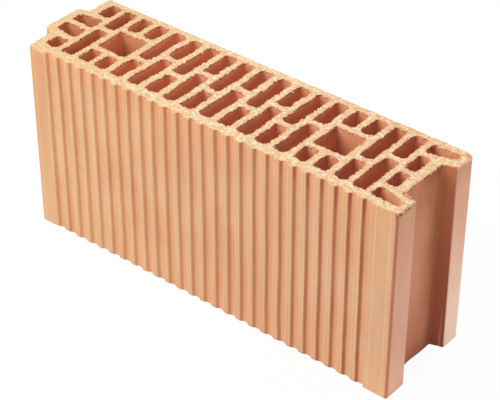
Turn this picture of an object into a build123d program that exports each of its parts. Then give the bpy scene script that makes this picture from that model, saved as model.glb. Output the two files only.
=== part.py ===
from build123d import *
import os

# A perforated partition block of fired clay. A column of clay is pushed through a die, which gives
# it its whole section: cells, grip holes, ribbed front, tongue and groove. A wire cuts the column
# into blocks, so a block is one prism as high as the cut.
#
# Plan places are measured along X from the shoulder at the tongue end, and along Y from the crests
# of the front ribs. Lengths are in millimetres.

# Block
laying_length = 498.0
block_width = 132.0
block_height = 238.0
corner_radius = 3.0

# Walls between the voids and around them
front_shell = 14.5
back_shell = 8.5
tongue_end_shell = 8.0
web = 8.0
cross_web = 7.0
cell_corner_radius = 2.5

# Columns of cells, from the tongue end to the groove end
column_count = 19
front_long_share = 0.58
back_long_share = 0.385

# Grip holes, each as wide as two columns less a little
grip_columns = (2, 14)
grip_size = 40.0
grip_corner_radius = 3.0

# Middle line of the tongue, the groove and the grip holes, set back from the middle of the block
core_offset = 1.0

# Tongue, which stands out between two shoulders and narrows to its tip
shoulder_width = 34.5
tongue_reach = 14.0
tongue_flank_run = 5.5
tongue_tip_radius = 6.0
tongue_root_radius = 3.0
tongue_tip_shell = 8.0
tongue_flank_shell = 9.0

# Groove, which takes the tongue of the next block, and the two lugs beside it
tongue_side_clearance = 4.25
tongue_tip_clearance = 1.5
groove_corner_radius = 4.0
groove_shell = 10.0
lug_radius = 3.0
lug_shell = 11.5
lug_tip_shell = 7.5
lug_cell_root_depth = 17.0
lug_cell_tip_depth = 8.0
groove_end_depth = 40.0

# Ribs that hold the plaster, left standing between the grooves of the front face
rib_groove_count = 26
rib_groove_depth = 3.0
rib_groove_mouth = 11.2
rib_groove_floor = 5.6
rib_groove_radius = 1.6
tongue_end_margin = 24.5
groove_end_margin = 29.8

# Worked out from the sizes above
core_middle = block_width / 2 + core_offset
tongue_root_width = block_width - 2 * shoulder_width
tongue_tip_width = tongue_root_width - 2 * tongue_flank_run
groove_depth = tongue_reach + tongue_tip_clearance
groove_mouth_width = tongue_root_width + 2 * tongue_side_clearance
groove_floor_width = tongue_tip_width + 2 * tongue_side_clearance
groove_floor_x = laying_length - groove_depth
field_back = block_width - back_shell
field_depth = field_back - front_shell
last_column_x = laying_length - groove_end_depth
column_pitch = (last_column_x - tongue_end_shell) / (column_count - 1)
cell_width = column_pitch - web
ribbed_length = laying_length - tongue_end_margin - groove_end_margin
rib_pitch = (ribbed_length - rib_groove_mouth) / (rib_groove_count - 1)
tongue_cell_depth = tongue_root_width / 2 - tongue_flank_shell
box_middle_x = (laying_length - tongue_reach) / 2
box_middle_y = block_width / 2


def rounded_face(points, radii):
    """A flat face inside a closed run of straight sides with rounded corners."""
    return make_face(FilletPolyline(*points, radius=radii, close=True))


def cell(left, right, front, back):
    """A straight cell with rounded corners."""
    corners = [(left, front), (right, front), (right, back), (left, back)]
    return rounded_face(corners, cell_corner_radius)


def column_left(column):
    """Where a column of cells starts, along X."""
    return tongue_end_shell + column * column_pitch


def block_outline():
    """The outside of the block with its tongue and groove, before the ribs are cut."""
    half_root = tongue_root_width / 2
    half_tip = tongue_tip_width / 2
    half_mouth = groove_mouth_width / 2
    half_floor = groove_floor_width / 2
    corners = [
        ((0, 0), corner_radius),
        ((laying_length, 0), corner_radius),
        ((laying_length, core_middle - half_mouth), lug_radius),
        ((groove_floor_x, core_middle - half_floor), groove_corner_radius),
        ((groove_floor_x, core_middle + half_floor), groove_corner_radius),
        ((laying_length, core_middle + half_mouth), lug_radius),
        ((laying_length, block_width), corner_radius),
        ((0, block_width), corner_radius),
        ((0, core_middle + half_root), tongue_root_radius),
        ((-tongue_reach, core_middle + half_tip), tongue_tip_radius),
        ((-tongue_reach, core_middle - half_tip), tongue_tip_radius),
        ((0, core_middle - half_root), tongue_root_radius),
    ]
    return rounded_face([point for point, radius in corners], [radius for point, radius in corners])


def rib_groove(left):
    """One plaster groove of the front face, with sloping sides and a rounded floor."""
    side = (rib_groove_mouth - rib_groove_floor) / 2
    slope = side / rib_groove_depth
    overrun = rib_groove_depth
    spread = overrun * slope
    corners = [
        ((left - spread, -overrun), 0),
        ((left + rib_groove_mouth + spread, -overrun), 0),
        ((left + side + rib_groove_floor, rib_groove_depth), rib_groove_radius),
        ((left + side, rib_groove_depth), rib_groove_radius),
    ]
    return rounded_face([point for point, radius in corners], [radius for point, radius in corners])


def rib_grooves():
    """All the plaster grooves of the front face."""
    return [rib_groove(tongue_end_margin + groove * rib_pitch) for groove in range(rib_groove_count)]


def staggered_column(column):
    """A long and a short cell in one column. Neighbouring columns have the long cell at the other side."""
    left = column_left(column)
    right = left + cell_width
    long_cell_in_front = column % 2 == 1
    share = front_long_share if long_cell_in_front else back_long_share
    cross_middle = front_shell + share * field_depth
    return [
        cell(left, right, front_shell, cross_middle - cross_web / 2),
        cell(left, right, cross_middle + cross_web / 2, field_back),
    ]


def grip_columns_pair(first_column):
    """A square grip hole across two columns, with two short cells in front of it and two behind."""
    left = column_left(first_column)
    right = column_left(first_column + 1) + cell_width
    middle = (left + right) / 2
    half_grip = grip_size / 2
    corners = [
        (middle - half_grip, core_middle - half_grip),
        (middle + half_grip, core_middle - half_grip),
        (middle + half_grip, core_middle + half_grip),
        (middle - half_grip, core_middle + half_grip),
    ]
    voids = [rounded_face(corners, grip_corner_radius)]
    for column in (first_column, first_column + 1):
        start = column_left(column)
        end = start + cell_width
        voids.append(cell(start, end, front_shell, core_middle - half_grip - cross_web))
        voids.append(cell(start, end, core_middle + half_grip + cross_web, field_back))
    return voids


def tongue_column():
    """The two cells that reach into the tongue, and the short cells in front of them and behind."""
    left = column_left(0)
    right = left + cell_width
    tip = tongue_tip_shell - tongue_reach
    tip_depth = tongue_cell_depth + tip * tongue_flank_run / tongue_reach
    voids = [
        cell(left, right, front_shell, core_middle - tongue_cell_depth - web),
        cell(left, right, core_middle + tongue_cell_depth + web, field_back),
    ]
    for side in (-1, 1):
        corners = [
            (tip, core_middle + side * cross_web / 2),
            (right, core_middle + side * cross_web / 2),
            (right, core_middle + side * tongue_cell_depth),
            (tip, core_middle + side * tip_depth),
        ]
        voids.append(rounded_face(corners, cell_corner_radius))
    return voids


def groove_column():
    """The two cells behind the groove's floor, and the tapering cells inside the two lugs."""
    left = column_left(column_count - 1)
    wall = groove_floor_x - groove_shell
    tip = laying_length - lug_tip_shell
    half_floor = groove_floor_width / 2
    voids = [
        cell(left, wall, core_middle - half_floor, core_middle - cross_web / 2),
        cell(left, wall, core_middle + cross_web / 2, core_middle + half_floor),
    ]
    for outside, inward in ((lug_shell, 1), (block_width - lug_shell, -1)):
        corners = [
            (left, outside),
            (tip, outside),
            (tip, outside + inward * lug_cell_tip_depth),
            (left, outside + inward * lug_cell_root_depth),
        ]
        voids.append(rounded_face(corners, cell_corner_radius))
    return voids


def all_voids():
    """Every cell and grip hole of the section."""
    voids = tongue_column() + groove_column()
    taken = {0, column_count - 1}
    for first_column in grip_columns:
        voids += grip_columns_pair(first_column)
        taken |= {first_column, first_column + 1}
    for column in range(column_count):
        if column not in taken:
            voids += staggered_column(column)
    return voids


def clay_block():
    """The block: its section carried up to the wire cut, with its box's bottom centre at the origin."""
    section = block_outline() - rib_grooves() - all_voids()
    return Pos(-box_middle_x, -box_middle_y, 0) * extrude(section, block_height, dir=(0, 0, 1))


os.makedirs("parts", exist_ok=True)
brick = clay_block()
export_step(brick, "parts/brick.step")
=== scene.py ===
import bpy
import numpy
from math import pi, radians
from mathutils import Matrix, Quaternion, Vector
from mathutils.kdtree import KDTree


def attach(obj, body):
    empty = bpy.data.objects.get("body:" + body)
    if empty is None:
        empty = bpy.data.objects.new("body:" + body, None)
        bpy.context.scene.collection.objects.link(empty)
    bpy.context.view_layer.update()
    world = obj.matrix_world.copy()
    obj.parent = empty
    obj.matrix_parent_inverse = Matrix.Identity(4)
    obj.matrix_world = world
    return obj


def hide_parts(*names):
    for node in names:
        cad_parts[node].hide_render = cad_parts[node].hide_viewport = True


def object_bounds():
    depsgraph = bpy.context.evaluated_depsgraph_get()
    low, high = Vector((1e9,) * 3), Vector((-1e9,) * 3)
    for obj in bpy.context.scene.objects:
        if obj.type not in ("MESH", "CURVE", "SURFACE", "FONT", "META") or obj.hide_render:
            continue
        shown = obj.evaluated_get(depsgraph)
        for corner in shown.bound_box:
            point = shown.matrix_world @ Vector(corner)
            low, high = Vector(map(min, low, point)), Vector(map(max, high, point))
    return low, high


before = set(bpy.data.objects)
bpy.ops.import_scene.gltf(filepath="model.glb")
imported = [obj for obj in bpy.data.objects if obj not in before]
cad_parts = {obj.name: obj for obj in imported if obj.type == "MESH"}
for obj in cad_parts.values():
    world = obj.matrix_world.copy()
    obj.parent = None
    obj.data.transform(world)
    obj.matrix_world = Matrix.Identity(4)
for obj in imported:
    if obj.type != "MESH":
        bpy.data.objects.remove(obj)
cad_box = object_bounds()
scene = bpy.context.scene
scene.view_settings.view_transform = "Standard"

# Camera. It stands nearly two metres away, off the groove end of the ribbed front, and looks down on
# that front and the top cut through a long lens.
camera_place = Vector((0.97414, -1.17366, 1.20534))
camera_aim = Vector((0.02014, 0.0, 0.11005))
camera_roll = radians(0.147)
camera_data = bpy.data.cameras.new("photo_camera")
camera_data.sensor_fit = "HORIZONTAL"
camera_data.sensor_width = 36.0
camera_data.lens = 122.93
camera = bpy.data.objects.new("photo_camera", camera_data)
camera.location = camera_place
level_view = (camera_aim - camera_place).to_track_quat("-Z", "Y")
camera.rotation_euler = (level_view @ Quaternion((0, 0, 1), camera_roll)).to_euler()
scene.collection.objects.link(camera)
scene.camera = camera


# Studio. A white table under a white surround, a large soft lamp above the tongue end in front,
# and a weaker one low behind the groove end.
class Feed:
    """An output of a node. Sums written with it add Math nodes to its tree."""

    def __init__(self, tree, socket=None):
        self.tree = tree
        self.socket = socket

    def node(self, kind, settings=None, inputs=None, output=0):
        """Adds a node with its settings and inputs, and gives one of its outputs."""
        made = self.tree.nodes.new(kind)
        for name, value in (settings or {}).items():
            setattr(made, name, value)
        for name, value in (inputs or {}).items():
            if isinstance(value, Feed):
                self.tree.links.new(value.socket, made.inputs[name])
            else:
                made.inputs[name].default_value = value
        return Feed(self.tree, made.outputs[output] if len(made.outputs) else None)

    def blend(self, share, first, second):
        """Two colours mixed. A Mix node takes them at inputs 6 and 7 and gives their mix at output 2."""
        return self.node("ShaderNodeMix", {"data_type": "RGBA"}, {0: share, 6: first, 7: second}, output=2)

    def maths(self, operation, first, second):
        return self.node("ShaderNodeMath", {"operation": operation}, {0: first, 1: second})

    def larger(self, other):
        return self.maths("MAXIMUM", self, other)

    def __add__(self, other):
        return self.maths("ADD", self, other)

    def __sub__(self, other):
        return self.maths("SUBTRACT", self, other)

    def __rsub__(self, other):
        return self.maths("SUBTRACT", other, self)

    def __mul__(self, other):
        return self.maths("MULTIPLY", self, other)

    def __mod__(self, other):
        return self.maths("MODULO", self, other)

    __radd__ = __add__
    __rmul__ = __mul__


def seen_itself(feed):
    """One for rays that show a thing itself, straight, mirrored or through clear matter, else none."""
    rays = [feed.node("ShaderNodeLightPath", output=name)
            for name in ("Is Camera Ray", "Is Glossy Ray", "Is Transmission Ray")]
    return rays[0].larger(rays[1].larger(rays[2]))


white = (1, 1, 1, 1)
surround_light = 0.45
world = bpy.data.worlds.new("white_surround")
scene.world = world
world.use_nodes = True
world.node_tree.nodes.clear()
surround = Feed(world.node_tree)
backdrop = surround.node("ShaderNodeBackground", {}, {
    "Color": white, "Strength": surround_light + (1 - surround_light) * seen_itself(surround)})
surround.node("ShaderNodeOutputWorld", {}, {"Surface": backdrop})

table_size = 9.0
table_drop = 0.0004
table_white_share = 0.95
table_lit = (0.8, 0.8, 0.8, 1)
table_seen = (0.97, 0.97, 0.97, 1)
bpy.ops.object.select_all(action="DESELECT")
bpy.ops.mesh.primitive_plane_add(size=table_size, location=(0, 0, -table_drop))
table = bpy.context.object
table.name = "white_table"
bpy.ops.object.transform_apply(location=True, rotation=True, scale=True)
table_paint = bpy.data.materials.new("white_table")
table_paint.use_nodes = True
table_paint.node_tree.nodes.clear()
paint = Feed(table_paint.node_tree)
shown_white = seen_itself(paint)
table_colour = paint.blend(shown_white, table_lit, table_seen)
matt_white = paint.node("ShaderNodeBsdfDiffuse", {}, {"Color": table_colour})
bright_white = paint.node("ShaderNodeEmission", {}, {"Color": white, "Strength": 1.0})
table_top = paint.node("ShaderNodeMixShader", {}, {
    0: shown_white * table_white_share, 1: matt_white, 2: bright_white})
paint.node("ShaderNodeOutputMaterial", {}, {"Surface": table_top})
table.data.materials.append(table_paint)

lamps = (
    ("key_lamp", (-0.95, -1.35, 2.08), 1.9, 0.84, (1.0, 0.98, 0.95)),
    ("end_lamp", (0.75, 0.95, 0.25), 0.9, 0.64, (1.0, 0.97, 1.0)),
)
block_middle = Vector((0, 0, 0.12))
for lamp_name, lamp_place, lamp_size, lamp_level, lamp_colour in lamps:
    lamp_data = bpy.data.lights.new(lamp_name, "AREA")
    lamp_data.size = lamp_size
    lamp_data.color = lamp_colour
    lamp_reach = (Vector(lamp_place) - block_middle).length
    lamp_data.energy = lamp_level * (pi * lamp_reach) ** 2
    lamp = bpy.data.objects.new(lamp_name, lamp_data)
    lamp.location = lamp_place
    lamp.rotation_euler = (block_middle - Vector(lamp_place)).to_track_quat("-Z", "Y").to_euler()
    scene.collection.objects.link(lamp)


# Brick. A hollow block of red-burning clay, pushed through a die, cut to height by a wire and
# fired. The die leaves smooth drawn walls and the wire leaves torn, grainy cuts with a raised lip.
half_length, half_width, block_height = cad_box[1]
cut_pitch = 0.001
hair = cut_pitch / 4
snap = 0.00025

bpy.ops.object.select_all(action="DESELECT")
brick = bpy.data.objects.new("fired_brick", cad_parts["brick"].data.copy())
brick.data.name = "fired_brick"
scene.collection.objects.link(brick)
brick.data.materials.clear()
bpy.context.view_layer.objects.active = brick
brick.select_set(True)
bpy.ops.mesh.customdata_custom_splitnormals_clear()

# Keep only the top cut of the block, as one flat sheet.
sheet_weld = 1e-6
upward = 0.99
flat_angle = 0.001
bpy.ops.object.mode_set(mode="EDIT")
bpy.ops.mesh.select_mode(type="FACE")
bpy.ops.mesh.select_all(action="SELECT")
bpy.ops.mesh.remove_doubles(threshold=sheet_weld)
bpy.ops.object.mode_set(mode="OBJECT")
for face in brick.data.polygons:
    face.select = face.normal.z < upward
bpy.ops.object.mode_set(mode="EDIT")
bpy.ops.mesh.delete(type="FACE")
bpy.ops.mesh.select_all(action="SELECT")
bpy.ops.mesh.dissolve_limited(angle_limit=flat_angle)
bpy.ops.object.mode_set(mode="OBJECT")


def sheet_outlines(sheet):
    """The closed runs of points around a flat sheet and around its holes, as lists of their numbers."""
    face_counts = {}
    for face in sheet.polygons:
        for edge_key in face.edge_keys:
            face_counts[edge_key] = face_counts.get(edge_key, 0) + 1
    neighbours = {}
    for (one, other), face_count in face_counts.items():
        if face_count == 1:
            neighbours.setdefault(one, []).append(other)
            neighbours.setdefault(other, []).append(one)
    outlines = []
    while neighbours:
        outline = [next(iter(neighbours))]
        while neighbours:
            onward = [index for index in neighbours.pop(outline[-1]) if index in neighbours]
            if not onward:
                break
            outline.append(onward[0])
        outlines.append(outline)
    return outlines


# The clay fills the corners of the cells rounder than the die is, and the mouth of the groove keeps a
# sharper edge. Each arc between two straight runs is scaled about the point where they would meet.
straight_run = 0.003
parallel = 1e-9
round_share = 1.75
run_limit = 0.47
widest_cell = 0.030
sharp_share = 0.5
groove_half_mouth = 0.040
# The columns of cells at both ends stand nearer the middle, and the ends of the cells nearer the
# faces. The cells in the lugs are longer and wider.
column_places = (-0.226, -0.201, -0.176, -0.151, -0.026, 0.024, 0.174, 0.199, 0.224)
column_shifts = (0.0024, 0.0015, 0.0005, -0.0005, -0.0006, 0.0005, 0.0003, -0.0010, -0.0018)
row_places = (-0.050, 0.004, 0.056)
run_places = (-0.20, -0.12, 0.0, 0.12, 0.20)
row_drifts = ((0.0003, 0.0005, 0.0, -0.0005, -0.0010),
              (0.0010, 0.0003, 0.0, -0.0008, -0.0010),
              (0.0016, 0.0014, 0.0004, 0.0006, 0.0014))
tongue_cells_before = -0.230
tongue_cells_back = 0.0005
lug_cells_after = 0.230
lug_cell_shift = (-0.0004, 0.0010)
lug_cell_growth = (0.0024, 0.0020)
sheet_points = brick.data.vertices
for outline in sheet_outlines(brick.data):
    places = [sheet_points[index].co.xy.copy() for index in outline]
    count = len(places)
    spread = [max(line) - min(line) for line in zip(*places)]
    is_hole = max(spread) < 2 * half_width
    runs = [number for number in range(count)
            if (places[(number + 1) % count] - places[number]).length > straight_run]
    for first, second in zip(runs, runs[1:] + runs[:1]):
        along = places[(first + 1) % count] - places[first]
        onto = places[(second + 1) % count] - places[second]
        across = places[second] - places[first]
        turn = along.x * onto.y - along.y * onto.x
        if abs(turn) < parallel:
            continue
        corner = places[first] + along * (across.x * onto.y - across.y * onto.x) / turn
        tangent = (places[(first + 1) % count] - corner).length
        share = 1.0
        if is_hole and min(spread) < widest_cell:
            share = min(round_share, run_limit * (min(along.length, onto.length) + 2 * tangent) / tangent)
        elif corner.x > half_length - snap and abs(corner.y) < groove_half_mouth:
            share = sharp_share
        for step in range((second - first) % count):
            number = (first + 1 + step) % count
            sheet_points[outline[number]].co.xy = corner + (places[number] - corner) * share
    if is_hole:
        middle = sum(places, Vector((0, 0))) / count
        shift = Vector((numpy.interp(middle.x, column_places, column_shifts), 0))
        growth = Vector((1, 1))
        drifts = [numpy.interp(middle.x, run_places, row) for row in row_drifts]
        if middle.x < tongue_cells_before:
            shift.y = tongue_cells_back
        if middle.x > lug_cells_after:
            shift = Vector(lug_cell_shift)
            growth = Vector([1 + more / size for more, size in zip(lug_cell_growth, spread)])
            drifts = (0, 0, 0)
        for index in outline:
            point = sheet_points[index]
            drift = Vector((0, numpy.interp(point.co.y, row_places, drifts)))
            point.co.xy = middle + shift + drift + (point.co.xy - middle) * growth
bpy.ops.object.mode_set(mode="EDIT")

# Round the edges of the ribs' crests a little, as the die and the handling leave them.
crest_round = 0.0008
ribbed_from, ribbed_to = -0.222, 0.218
bpy.ops.mesh.select_mode(type="VERT")
bpy.ops.mesh.select_all(action="DESELECT")
bpy.ops.object.mode_set(mode="OBJECT")
for vertex in brick.data.vertices:
    on_crest_line = vertex.co.y < snap - half_width
    vertex.select = on_crest_line and ribbed_from < vertex.co.x < ribbed_to
bpy.ops.object.mode_set(mode="EDIT")
bpy.ops.mesh.bevel(affect="VERTICES", offset=crest_round, segments=2)
bpy.ops.mesh.select_mode(type="FACE")


def score(wanted):
    """Cuts the sheet in edit mode along those lines of a fine square grid whose number is wanted."""
    for axis, half_size, first_line in ((1, half_width, 1.0), (0, half_length, 0.5)):
        normal = [0, 0, 0]
        normal[axis] = 1
        for line in range(round(2 * half_size / cut_pitch)):
            if wanted(line):
                on_line = [0, 0, 0]
                on_line[axis] = (line + first_line) * cut_pitch - half_size
                bpy.ops.mesh.select_all(action="SELECT")
                bpy.ops.mesh.bisect(plane_co=on_line, plane_no=normal, threshold=snap)


# Score it coarsely, keep a copy for the bottom cut, and score the top finely enough to be torn.
wall_step = 3
score(lambda line: line % wall_step == 1)
bpy.ops.mesh.select_all(action="SELECT")
bpy.ops.mesh.duplicate()
bpy.ops.mesh.flip_normals()
bpy.ops.mesh.hide(unselected=False)
bpy.ops.object.mode_set(mode="OBJECT")
coarse_count = len(brick.data.vertices)
bpy.ops.object.mode_set(mode="EDIT")
score(lambda line: line % wall_step != 1)
bpy.ops.object.mode_set(mode="OBJECT")
fine_group = brick.vertex_groups.new(name="fine_points")
fine_group.add(list(range(coarse_count, len(brick.data.vertices))), 1.0, "REPLACE")


def grade(name, weight_at):
    """A vertex group of the brick, with a weight from each point's place and the way it faces."""
    group = brick.vertex_groups.new(name=name)
    for vertex in brick.data.vertices:
        weight = weight_at(vertex.co, vertex.normal)
        if weight > 0:
            group.add([vertex.index], min(weight, 1), "REPLACE")


def shove(name, group, direction, travel, grain=None, middle=0.5, detail=1, contrast=1.6, steps=None):
    """Moves the points of a vertex group by their weights, evenly or by a cloudy pattern."""
    push = brick.modifiers.new(name, "DISPLACE")
    if grain:
        texture = bpy.data.textures.new(name, "CLOUDS")
        texture.noise_scale = grain
        texture.noise_depth = detail
        texture.contrast = contrast
        if steps:
            texture.use_color_ramp = True
            for element, step, level in zip(texture.color_ramp.elements, steps, (0, 1)):
                element.position = step
                element.color = (level, level, level, 1)
        push.texture = texture
        push.texture_coords = "LOCAL"
    push.direction = direction
    push.strength = travel
    push.mid_level = middle
    push.vertex_group = group
    bpy.ops.object.modifier_apply(modifier=name)


def fade(value, start, end):
    """One up to a start, none from an end on, and straight between them."""
    return max(0.0, min(1.0, (end - value) / (end - start)))


def box_margin(place):
    """How far a point lies inside the block's outer faces, in plan."""
    return min(half_length - abs(place.x), half_width - abs(place.y))


# The soft clay leaves the die with webs that are not quite straight.
shell_reach = (0.001, 0.014)
grade("webs", lambda place, facing: 1 - fade(box_margin(place), *shell_reach))
shove("web_sway_along", "webs", "X", travel=0.0018, grain=0.028)
shove("web_sway_across", "webs", "Y", travel=0.0018, grain=0.032)

# Draw the walls down from the top cut, finely near it and then coarsely, on to the bottom cut.
rim_gaps_mm = (0.6, 1.0, 1.6)
wall_gaps_mm = (4.8, 50.0, 70.0, 70.0, 35.0, 5.0)
wall_weld = 2e-5
bpy.ops.object.mode_set(mode="EDIT")
bpy.ops.mesh.select_all(action="DESELECT")
bpy.ops.mesh.reveal(select=True)
bpy.ops.transform.translate(value=(0, 0, -block_height))
bpy.ops.mesh.hide(unselected=False)
bpy.ops.mesh.select_mode(type="EDGE")
bpy.ops.mesh.select_all(action="DESELECT")
bpy.ops.mesh.select_non_manifold(use_wire=False, use_multi_face=False,
                                 use_non_contiguous=False, use_verts=False)
brick.vertex_groups.new(name="wall_points")
brick.vertex_groups.active_index = brick.vertex_groups["wall_points"].index
bpy.ops.object.vertex_group_assign()
wall_drop = sum(rim_gaps_mm) + sum(wall_gaps_mm)
for gap in rim_gaps_mm + wall_gaps_mm:
    bpy.ops.mesh.extrude_edges_move(
        TRANSFORM_OT_translate={"value": (0, 0, -gap / wall_drop * block_height)})
bpy.ops.object.mode_set(mode="OBJECT")

# Below the torn rims the fine scores are not needed, so the walls drop them there.
rim_floor = block_height * (1 - sum(rim_gaps_mm) / wall_drop)
points = brick.data.vertices
fine_index = brick.vertex_groups["fine_points"].index
fine = [any(member.group == fine_index for member in point.groups) for point in points]
for edge in brick.data.edges:
    one, other = edge.vertices
    upright = abs(points[one].co.z - points[other].co.z) > hair
    reaches_lower = min(points[one].co.z, points[other].co.z) < rim_floor - hair
    edge.select = fine[one] and fine[other] and upright and reaches_lower
bpy.ops.object.mode_set(mode="EDIT")
bpy.ops.mesh.dissolve_edges(use_verts=True)
bpy.ops.mesh.reveal()
bpy.ops.mesh.select_all(action="SELECT")
bpy.ops.mesh.remove_doubles(threshold=wall_weld)
bpy.ops.mesh.normals_make_consistent(inside=False)
bpy.ops.object.mode_set(mode="OBJECT")


def depth(place):
    """How far a point lies below the top cut."""
    return block_height - place.z


def inside(place):
    """None at the block's outer faces, rising to one a few millimetres inside them."""
    return 1 - fade(box_margin(place), 0.0035, 0.0060)


def mark(name, share_at):
    """A named value on every point of the brick, for its finish to read."""
    shares = [share_at(vertex.co, vertex.normal) for vertex in brick.data.vertices]
    brick.data.attributes.new(name, "FLOAT", "POINT").data.foreach_set("value", shares)


# Just below the top cut the walls draw back from the lips that the wire drags over them.
lip_top = (0.0003, 0.0007)
lip_foot = (0.0014, 0.0036)
outer_share = 0.2
lip_facing = 0.6
lips_before = 0.236


def undercut(place, facing):
    """The share of the hollow that the wire's lip leaves below it, most of all in a cell's tongue side."""
    band = min(1 - fade(depth(place), *lip_top), fade(depth(place), *lip_foot))
    in_lee = inside(place) * (facing.x > lip_facing) * (place.x < lips_before)
    return band * (outer_share + (1 - outer_share) * in_lee)


mark("tongue_side", lambda place, facing: max(0.0, facing.x))
# The same share marks where the walls get painted shade below the lips.
mark("undercut_shade", undercut)
grade("below_lips", undercut)
shove("lips", "below_lips", "NORMAL", travel=0.0020, grain=0.0019, middle=1.0, contrast=2.0)

# The wire tears the rims of the cells, and chips them here and there.
rim_fade = (0.0012, 0.0040)
chip_fade = (0.0004, 0.0040)
outer_chip_share = 0.35
grade("rims", lambda place, facing: fade(depth(place), *rim_fade)
      * (outer_share + (1 - outer_share) * inside(place)))
shove("rim_tear_along", "rims", "X", travel=0.0026, grain=0.0019)
shove("rim_tear_across", "rims", "Y", travel=0.0021, grain=0.0022)
wall_index = brick.vertex_groups["wall_points"].index
on_wall = {point.index for point in brick.data.vertices
           if any(member.group == wall_index for member in point.groups)}
edge_points = brick.vertex_groups.new(name="edge_points")
rim_places = []
for point in brick.data.vertices:
    weight = fade(depth(point.co), *chip_fade) * (
        outer_chip_share + (1 - outer_chip_share) * inside(point.co))
    if weight > 0 and point.index in on_wall:
        edge_points.add([point.index], weight, "REPLACE")
    if depth(point.co) < hair and point.index in on_wall:
        rim_places.append(point.co.copy())
rim_tree = KDTree(len(rim_places))
for number, rim_place in enumerate(rim_places):
    rim_tree.insert(rim_place, number)
rim_tree.balance()
mark("rim_reach", lambda place, facing: rim_tree.find(place)[2])
shove("rim_chips", "edge_points", "Z", travel=0.0018, grain=0.0022, middle=1.0, steps=(0.30, 0.45))

# Both cuts are torn and grainy, the top more than the bed that the block stands on.
top_fade = (0.0001, 0.0016)
bed_fade = (0.0001, 0.0010)
grade("top_cut", lambda place, facing: fade(depth(place), *top_fade))
grade("bed_cut", lambda place, facing: fade(place.z, *bed_fade) * inside(place))
shove("top_wave", "top_cut", "Z", travel=0.0005, grain=0.007, middle=0.8)
shove("top_tear", "top_cut", "Z", travel=0.0007, grain=0.0026, middle=0.75, detail=2)
shove("bed_tear", "bed_cut", "Z", travel=-0.0010, grain=0.006, middle=0.9)

# A corner at the back has chipped off, and so has the root of the front lug. The end of that lug is
# torn below its lip.
corner_chip_run = (0.009, 0.014)
corner_chip_depth = 0.008
lug_root = Vector((0.2420, -0.0305))
lug_mouth = Vector((0.2530, -0.0335))
lug_chip_depth = 0.009
lug_chip_mark = 0.4


def corner_chip(place, facing):
    """The share of the chip at the back corner."""
    reach = Vector(((half_length - place.x) / corner_chip_run[0],
                    (half_width - place.y) / corner_chip_run[1])).length
    return fade(depth(place), 0.0, corner_chip_depth) * fade(reach, 0.15, 1.0)


def lug_chip(place, facing):
    """The share of the chip along the inner edge of the front lug."""
    edge = lug_mouth - lug_root
    run = max(0.0, min(1.0, (place.xy - lug_root).dot(edge) / edge.length_squared))
    reach = (place.xy - lug_root - run * edge).length
    return fade(depth(place), 0.0, lug_chip_depth) * fade(reach, 0.0015, 0.0070)


def torn_lug(place, facing):
    """The share of the torn end of the front lug, in a band below its lip."""
    near_end = fade(half_length - place.x, 0.0010, 0.0030)
    off_groove = fade(place.y, -0.042, -0.036)
    band = min(1 - fade(depth(place), 0.0003, 0.0008), fade(depth(place), 0.0030, 0.0060))
    return near_end * off_groove * band


mark("fresh_break", lambda place, facing: corner_chip(place, facing)
     + lug_chip_mark * lug_chip(place, facing))
grade("corner_chip", corner_chip)
shove("corner_chip", "corner_chip", "Z", travel=0.0028, grain=0.0030, middle=1.4)
grade("lug_chip", lug_chip)
shove("lug_chip", "lug_chip", "Z", travel=0.0032, grain=0.0040, middle=1.3)
grade("torn_lug", torn_lug)
shove("lug_tear", "torn_lug", "X", travel=0.0032, grain=0.0024, middle=1.0, contrast=2.0)


# The groove opens a little towards the bed, where the soft lug at the back has bent out.
def bent_lug(place, facing):
    """The share of the bend, which is most at the inner side of the lug and grows towards the bed."""
    off_block = 1 - fade(place.x, 0.226, 0.2405)
    off_groove = 1 - fade(place.y, 0.012, 0.031)
    off_back = fade(place.y, 0.042, 0.0655)
    return off_block * off_groove * off_back * depth(place) / block_height


grade("bent_lug", bent_lug)
shove("lug_bend", "bent_lug", "Y", travel=0.0034, middle=0.0)

# The ribs were drawn a little closer together than the die's, and lean and wander by as much.
drift_at_tongue = 0.0010
drift_at_groove = -0.0007
rib_lean = 0.0007
rib_foot_y = (-0.0620, -0.0560)
ribs_end_x = (0.226, 0.238)
mark("drawn_x", lambda place, facing: place.x)
grade("front_ribs", lambda place, facing: fade(place.y, *rib_foot_y) * fade(abs(place.x), *ribs_end_x))
rib_index = brick.vertex_groups["front_ribs"].index
for vertex in brick.data.vertices:
    for member in vertex.groups:
        if member.group == rib_index:
            run = (vertex.co.x + half_length) / (2 * half_length)
            rib_drift = drift_at_tongue * (1 - run) + drift_at_groove * run
            vertex.co.x += member.weight * (rib_drift + rib_lean * (0.5 - vertex.co.z / block_height))
shove("rib_wander", "front_ribs", "X", travel=0.0012, grain=0.045)

# The bed has dried a little hollow, and the feet of the ribs are worn.
hollow_height = 0.050
hollow_middle_x = 0.04
hollow_end = (0.15, 0.20)
foot_height = (0.002, 0.004)
foot_crest_y = (-0.0652, -0.0640)
worn_end_x = (0.218, 0.226)
grade("hollow_bed", lambda place, facing: fade(place.z, 0.0, hollow_height)
      * fade(abs(place.x - hollow_middle_x), *hollow_end))
shove("bed_rise", "hollow_bed", "Z", travel=0.0012, middle=0.0)
grade("rib_feet", lambda place, facing: fade(place.z, *foot_height) * fade(place.y, *foot_crest_y)
      * fade(abs(place.x), *worn_end_x))
shove("foot_wear", "rib_feet", "Y", travel=0.0009, middle=0.0)

# Nothing stands proud of the size that the block was cut to.
smooth_angle = radians(38)
for vertex in brick.data.vertices:
    for axis in range(3):
        vertex.co[axis] = max(cad_box[0][axis], min(cad_box[1][axis], vertex.co[axis]))
bpy.ops.object.shade_smooth_by_angle(angle=smooth_angle)


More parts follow.
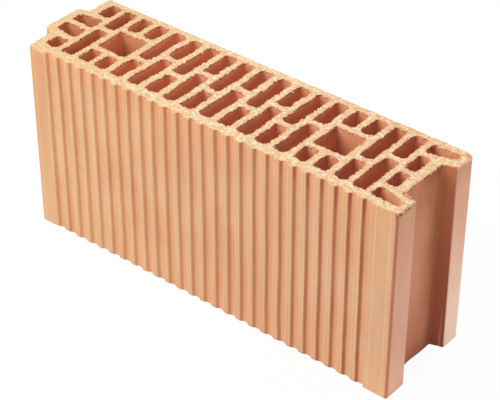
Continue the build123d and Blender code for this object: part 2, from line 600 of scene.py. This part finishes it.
def srgb(red, green, blue):
    """A linear colour with full alpha from the 0 to 255 scale of a screen."""
    shares = [value / 255 for value in (red, green, blue)]
    linear = [share / 12.92 if share <= 0.04045 else ((share + 0.055) / 1.055) ** 2.4 for share in shares]
    return (*linear, 1.0)


fired_clay = bpy.data.materials.new("fired_clay")
fired_clay.use_nodes = True
fired_clay.node_tree.nodes.clear()
clay = Feed(fired_clay.node_tree)
blend = clay.blend
spot = clay.node("ShaderNodeTexCoord", output="Object")
spot_x, spot_y, spot_z = [
    clay.node("ShaderNodeSeparateXYZ", {}, {0: spot}, output=axis) for axis in "XYZ"]


def noise(grain, detail=2.0, roughness=0.5, stretch=(1, 1, 1)):
    """A cloudy value, with grains of a size in metres, drawn out along an axis by its stretch."""
    scale = [1 / (grain * share) for share in stretch]
    scaled_spot = clay.node("ShaderNodeMapping", {}, {"Vector": spot, "Scale": scale})
    return clay.node("ShaderNodeTexNoise", {}, {
        "Vector": scaled_spot, "Scale": 1.0, "Detail": detail, "Roughness": roughness})


def ease(value, low, high):
    """A smooth step of a value, from none at the low end to one at the high end."""
    return clay.node("ShaderNodeMapRange", {"interpolation_type": "SMOOTHSTEP"}, {
        "Value": value, "From Min": low, "From Max": high})


def between(value, low, high, edge=0.001):
    """A value's share inside a range, with soft edges."""
    return ease(value, low - edge, low + edge) * (1 - ease(value, high - edge, high + edge))


def marked(name):
    """A value that was marked on the points of the brick."""
    return clay.node("ShaderNodeAttribute", {"attribute_name": name}, output="Fac")


def tinted(base, *tints):
    """A colour with tints laid over it in turn, each given by its share and its colour."""
    for share, tint in tints:
        base = blend(share, base, tint)
    return base


# Where on the block a wall is: in the cells of the field, the tongue and the lugs, in the groove, or
# on the ends of the lugs. Every mask ends inside the clay.
core_middle = 0.001
core = spot_y - core_middle
tongue_side = marked("tongue_side")
in_field = between(spot_x, -0.2380, 0.2355) * between(spot_y, -0.0545, 0.0605)
in_tongue = between(spot_x, -0.2515, -0.2300) * between(core, -0.0255, 0.0255)
in_lugs = between(spot_x, 0.2100, 0.2520) * (
    between(spot_y, -0.0580, -0.0365) + between(spot_y, 0.0385, 0.0600))
in_cells = in_field.larger(in_tongue.larger(in_lugs))
in_groove = ease(spot_x, 0.2345, 0.2365) * between(core, -0.0390, 0.0410) * (1 - in_lugs)
near_lug_ends = ease(spot_x, 0.2510, 0.2535) * between(spot_y, -0.0650, 0.0652) * (1 - in_lugs)
on_lug_ends = near_lug_ends * ease(tongue_side, 0.45, 0.75)
towards_groove = ease(spot_x, -0.22, 0.25)
on_front = 1 - ease(spot_y, -0.0600, -0.0580)
by_tongue = (1 - ease(spot_x, -0.224, -0.214)) * on_front
by_groove = ease(spot_x, 0.220, 0.227) * on_front

# The pale clay of the cut laps over its edge, by a depth that wanders.
cut_depth = block_height - spot_z
lip_wander = noise(0.006) - 0.5
lip_drop = on_lug_ends * 0.0020 + by_tongue * 0.0018 - lip_wander * (0.0026 + 0.0040 * on_lug_ends)
in_cut = 1 - ease(cut_depth - lip_drop, 0.0007, 0.0021) * ease(spot_z, 0.0001, 0.0005)

# The drawn walls are streaked along the way the clay was pushed, and clouded by the fire. The ribs are
# paler on their crests. On the sides of the ribs that face the groove end painted shade darkens and
# reddens the walls, a painted highlight lies along the crests' edges next to them, and painted light
# brightens the front towards the bed.
drawn = noise(0.0016, 2.0, 0.6, (1, 1, 60))
cloud = noise(0.060, 2.0, 0.5, (1, 1, 1.6))
patch = noise(0.022, 2.0, 0.5, (1, 1, 2.5))
rib_pitch = 0.017284
first_rib_groove = -0.2175
pitches_before = 20
rib_place = (marked("drawn_x") - (first_rib_groove - pitches_before * rib_pitch)) % rib_pitch
on_crest = 1 - ease(spot_y, -0.0657, -0.0642)
crest_wall = blend(towards_groove, srgb(229, 196, 150), srgb(225, 191, 150))
near_bed = (1 - ease(spot_z, 0.0, 0.085)) * ease(patch, 0.30, 0.60) * ease(spot_x, -0.18, 0.0)
red_bed = near_bed * (1 - on_crest * 0.5) * on_front
dull_head = ease(spot_z, 0.10, 0.22) * on_front
# Painted light, paler towards the bed along the front.
painted_light_foot = (1 - ease(spot_z, 0.0, 0.10)) * on_front * (0.16 + 0.20 * towards_groove)
dark_streak = ease(drawn, 0.48, 0.72)
pale_streak = (1 - ease(drawn, 0.30, 0.44)) * on_front
flat_wall = blend(ease(spot_z, 0.02, 0.16), srgb(227, 183, 142), srgb(219, 158, 111))
# Painted light at the foot of the front next to the groove end.
painted_light_groove_end_foot = by_groove * (1 - ease(spot_z, 0.0, 0.045))
# Painted highlight along each crest's edge on the groove-end side.
painted_arris_highlight = ease(rib_place, 0.0150, 0.0172) * on_crest * on_front
below_rim = (1 - ease(cut_depth, 0.004, 0.040)) * on_front
# Painted shade, dark and red, on the sides of the ribs that face the groove end, strongest towards that
# end and near the top.
painted_lee_shade = (1 - ease(rib_place, 0.0016, 0.0050)) * ease(spot_y, -0.0659, -0.0652) * on_front
lee_shade_by_end = 0.25 + 0.60 * towards_groove * towards_groove * towards_groove
lee_shade_by_depth = 1.5 - 0.5 * ease(cut_depth, 0.006, 0.030)
lee_shade_colour = blend(towards_groove, srgb(230, 123, 82), srgb(188, 105, 72))
front_wall = tinted(
    blend(ease(cloud, 0.35, 0.65), srgb(227, 183, 140), srgb(221, 162, 119)),
    (on_crest * on_front * 0.45, crest_wall),
    (red_bed * 0.25, srgb(230, 154, 112)),
    (dull_head * 0.14, srgb(218, 152, 104)),
    (painted_light_foot, srgb(238, 188, 144)),
    (ease(patch, 0.45, 0.75) * 0.4, srgb(230, 189, 147)),
    (dark_streak * 0.55, srgb(216, 154, 112)),
    (pale_streak * 0.45, srgb(238, 197, 155)),
    (towards_groove * on_front * 0.35, srgb(217, 163, 130)),
    (by_tongue * 0.65, flat_wall),
    (painted_light_groove_end_foot * 0.55, srgb(236, 192, 148)),
    (painted_arris_highlight * 0.5, srgb(238, 201, 160)),
    (below_rim * 0.2, srgb(236, 158, 98)),
    (painted_lee_shade * lee_shade_by_end * (0.5 + patch) * lee_shade_by_depth, lee_shade_colour),
)

# In the cells the walls that face the groove end carry painted light at the tongue end and painted shade
# towards the groove end, both lighter further below the rim, and the other walls carry painted light near
# the rim. The walls of the columns next to the tongue are darker and browner.
light_by_depth = ease(cut_depth, 0.003, 0.024)
in_first_grip = between(spot_x, -0.1850, -0.1410) * between(core, -0.022, 0.022)
# Painted light near the rim on the walls that do not face the groove end.
lit_wall = tinted(
    blend(towards_groove, srgb(240, 170, 127), srgb(240, 173, 132)),
    (light_by_depth, blend(towards_groove, srgb(228, 152, 110), srgb(229, 156, 117))),
    (in_first_grip * 0.4, srgb(214, 138, 90)),
)
# The walls that face the groove end: painted light at the tongue end and below the rim, painted shade
# towards the groove end.
dim_wall = tinted(
    blend(towards_groove, srgb(252, 168, 123), srgb(186, 107, 88)),
    (light_by_depth, blend(towards_groove, srgb(255, 188, 143), srgb(234, 157, 130))),
)
lug_cell_tip = ease(spot_x, 0.2330, 0.2470) * (1 - ease(spot_y, -0.036, -0.030))
tongue_end = (1 - ease(spot_x, -0.215, -0.140)) * (1 - in_first_grip)
cell_wall = tinted(
    blend(ease(tongue_side, 0.3, 0.8), lit_wall, dim_wall),
    (ease(patch, 0.40, 0.70) * 0.3, srgb(226, 150, 112)),
    (lug_cell_tip * 0.65, srgb(252, 206, 140)),
    (tongue_end * 0.84, srgb(222, 146, 100)),
)

# The groove has a painted band of light at half its height away from the back lug, painted shade below its
# lip in its far half, and is darker at the bed and on the back flank.
off_lug = 1 - ease(spot_y, 0.002, 0.023)
# Painted light, a band at half the groove's height on the side away from the back lug.
painted_light_band = ease(spot_z, 0.02, 0.10) * (1 - ease(spot_z, 0.16, 0.23))
groove_foot = 1 - ease(spot_z, 0.0, 0.03)
# Painted shade below the lip in the far half of the groove.
below_lip = (1 - ease(cut_depth, 0.002, 0.022)) * ease(spot_y, -0.012, 0.016)
on_back_flank = ease(spot_y, 0.0290, 0.0320)
back_flank = tinted(
    blend(ease(spot_z, 0.08, 0.19), srgb(171, 98, 71), srgb(190, 117, 83)),
    (ease(spot_z, 0.212, 0.236), srgb(210, 130, 85)),
)
groove_wall = tinted(
    blend(ease(patch, 0.35, 0.7), srgb(194, 126, 93), srgb(186, 115, 84)),
    (painted_light_band * off_lug * 0.55, srgb(216, 157, 126)),
    (groove_foot * 0.60, srgb(160, 90, 66)),
    (below_lip * 0.6, srgb(140, 72, 43)),
    (on_back_flank * 0.9, back_flank),
)

# The ends of the lugs get painted light from the table towards the bed, the back one most of all, and
# painted shade at the top.
back_lug = ease(spot_y, 0.0, 0.03)
# Painted shade at the top of the lug ends.
lug_head_shade = ease(spot_z, 0.13, 0.21) * (0.75 - 0.38 * back_lug)
# Painted light from the table, paler towards the bed.
lug_bounce_light = 1 - ease(spot_z, 0.0, 0.075)
back_lug_bounce_light = (1 - ease(spot_z, 0.0, 0.19)) * back_lug
back_lug_head_shade = ease(spot_z, 0.200, 0.232) * back_lug
lug_wall = tinted(
    blend(ease(patch, 0.35, 0.7), srgb(223, 172, 146), srgb(219, 166, 139)),
    (lug_head_shade, srgb(212, 153, 121)),
    (lug_bounce_light * 0.7, srgb(244, 192, 160)),
    (back_lug_bounce_light, srgb(249, 215, 189)),
    (back_lug_head_shade * 0.7, srgb(200, 143, 108)),
)

# The walls together. Below the lips painted shade darkens the walls where the lips overhang them, and the
# torn band below the front lug's lip is painted dark red.
lug_corner = ease(spot_x, 0.2528, 0.2546) * (1 - ease(spot_y, -0.0640, -0.0618))
# Dark red in the torn band below the front lug's lip: partly the torn clay's redder tone, partly painted
# shade under the lip.
lug_pit_shade = on_lug_ends * between(spot_y, -0.0650, -0.0400, 0.004) * between(cut_depth, 0.0026, 0.0062)
wall = tinted(
    front_wall,
    (in_groove, groove_wall),
    (on_lug_ends, lug_wall),
    (lug_corner * 0.8, srgb(204, 124, 86)),
    (in_cells, cell_wall),
    (ease(marked("undercut_shade"), 0.30, 0.85) * 0.65, srgb(178, 98, 68)),
    (lug_pit_shade * ease(noise(0.0035), 0.42, 0.56) * 0.9, srgb(168, 78, 56)),
)

# The torn clay of the cuts is paler, with light and dark grains, redder rims and a few dark specks.
grain = noise(0.0034, 3.0, 0.6, (1.5, 1, 1))
speck = noise(0.0018, 1.0, 0.5, (1.6, 1, 1))
blush = noise(0.0060, 2.0, 0.6)
pit = noise(0.0032)
near_rim = 1 - ease(marked("rim_reach"), 0.0003, 0.0030)
off_tongue = ease(spot_x, -0.20, -0.04)
back_rim = ease(spot_y, 0.052, 0.058) * ease(spot_x, 0.06, 0.14)
dark_grain = blend(off_tongue, srgb(227, 183, 135), srgb(231, 189, 144))
light_grain = blend(off_tongue, srgb(239, 213, 166), srgb(252, 234, 192))
cut = tinted(
    blend(ease(grain, 0.36, 0.62), dark_grain, light_grain),
    (ease(blush, 0.46, 0.66) * (0.42 + 0.33 * towards_groove), srgb(236, 188, 150)),
    (near_rim * ease(blush, 0.34, 0.52) * (0.40 + 0.30 * towards_groove), srgb(244, 180, 144)),
    (back_rim * ease(blush, 0.36, 0.58) * 0.45, srgb(232, 172, 122)),
    (ease(speck, 0.58, 0.68) * (0.08 + 0.42 * off_tongue), srgb(204, 143, 94)),
    ((1 - ease(speck, 0.32, 0.42)) * (0.12 + 0.28 * off_tongue), srgb(255, 241, 202)),
    (ease(pit, 0.64, 0.72) * (0.15 + 0.45 * towards_groove), srgb(174, 108, 68)),
)

# Where the back corner has broken off, the clay below is orange. The chipped lug in front has the
# colour of the cut.
broken = ease(marked("fresh_break") + lip_wander * 0.5, 0.25, 0.45)
orange_break = blend(ease(grain, 0.40, 0.65) * 0.7, srgb(238, 158, 110), srgb(245, 196, 156))
fresh = blend(ease(spot_y, 0.0, 0.03), cut, orange_break)
colour = tinted(wall, (in_cut, cut), (broken, fresh))

# The cuts are rough, and the walls are finely ridged along the way they were drawn.
grain_height = noise(0.0015, 3.0, 0.65)
streak_height = noise(0.0014, 1.0, 0.5, (1, 1, 80))
cut_relief = in_cut * grain_height * (0.00032 + 0.00013 * off_tongue)
wall_relief = (1 - in_cut) * (streak_height * 0.00012 + grain_height * 0.00006)
bump = clay.node("ShaderNodeBump", {}, {
    "Strength": 1.0, "Distance": 1.0, "Height": cut_relief + wall_relief})
skin = clay.node("ShaderNodeBsdfPrincipled", {}, {
    "Base Color": colour,
    "Roughness": 0.82 + 0.14 * in_cut,
    "Specular IOR Level": 0.25,
    "Normal": bump,
})
clay.node("ShaderNodeOutputMaterial", {}, {"Surface": skin})
brick.data.materials.append(fired_clay)

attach(brick, "root")
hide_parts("brick")
